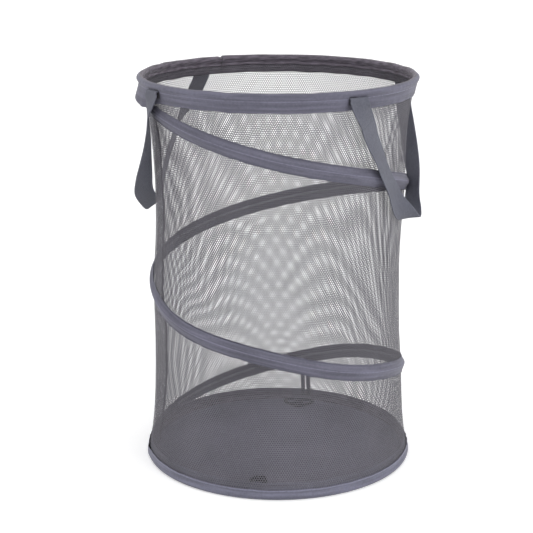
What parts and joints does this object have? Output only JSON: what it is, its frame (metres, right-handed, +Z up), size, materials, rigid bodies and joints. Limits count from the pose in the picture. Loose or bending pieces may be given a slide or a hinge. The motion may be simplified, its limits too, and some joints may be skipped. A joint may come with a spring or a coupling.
{
  "type": "laundry hamper",
  "caption": "Round pop up laundry hamper: mesh wall on spring wire rings and a wire spiral, cloth floor, webbing handles and cord ties.",
  "frame": {"origin": "middle of the underside of the base ring", "axes": "+Z up out of the mouth, -Y to the front, +X to the right as seen from the front"},
  "size_m": [0.3764, 0.3516, 0.502],
  "materials": {
    "tape": "woven polyester tape, matt, grey violet",
    "mesh": "open knitted polyester mesh, see-through",
    "floor_cloth": "plain woven cloth, matt",
    "webbing": "ribbed webbing, slight sheen",
    "cord": "braided cord, black",
    "spring_wire": "drawn spring wire"
  },
  "bodies": {
    "base": {"base_ring_wire": "spring_wire", "base_wire_ferrule": "spring_wire", "base_binding": "tape", "floor_panel": "floor_cloth", "mesh_wall": "mesh", "spiral_wire": "spring_wire", "spiral_tape": "tape", "side_seam_tape": "tape", "front_tie_tab": "webbing", "back_tie_tab": "webbing", "back_hold_loop": "tape"},
    "rim": {"rim_ring_wire": "spring_wire", "rim_wire_ferrule": "spring_wire", "rim_binding": "tape", "right_handle_front_end": "webbing", "right_handle_rear_end": "webbing", "left_handle_front_end": "webbing", "left_handle_rear_end": "webbing"},
    "right_handle": {"right_handle_loop": "webbing"},
    "left_handle": {"left_handle_loop": "webbing"},
    "front_tie": {"front_tie_loop": "cord"},
    "back_tie": {"back_tie_loop": "cord"}
  },
  "joints": [
    {"name": "fold_flat", "type": "slide", "parent": "base", "child": "rim", "axis": [0, 0, 1], "range_m": [-0.44, 0], "stiffness_N_per_m": 30, "springref_m": 0.2, "deforming": ["mesh_wall", "spiral_wire", "spiral_tape", "side_seam_tape", "right_handle_loop", "left_handle_loop"]},
    {"name": "right_handle_swing", "type": "hinge", "parent": "rim", "child": "right_handle", "pos_m": [0.1283, -0.0308, 0.4925], "axis": [-0.2334, -0.9724, 0], "range_deg": [0, 170]},
    {"name": "left_handle_swing", "type": "hinge", "parent": "rim", "child": "left_handle", "pos_m": [-0.1283, 0.0308, 0.4925], "axis": [0.2334, 0.9724, 0], "range_deg": [0, 170]},
    {"name": "front_tie_swing", "type": "hinge", "parent": "base", "child": "front_tie", "pos_m": [-0.0252, -0.1591, 0.0069], "axis": [0.9877, -0.1564, 0], "range_deg": [0, 80]},
    {"name": "back_tie_swing", "type": "hinge", "parent": "base", "child": "back_tie", "pos_m": [0.0252, 0.1591, 0.0069], "axis": [-0.9877, 0.1564, 0], "range_deg": [0, 80]}
  ]
}
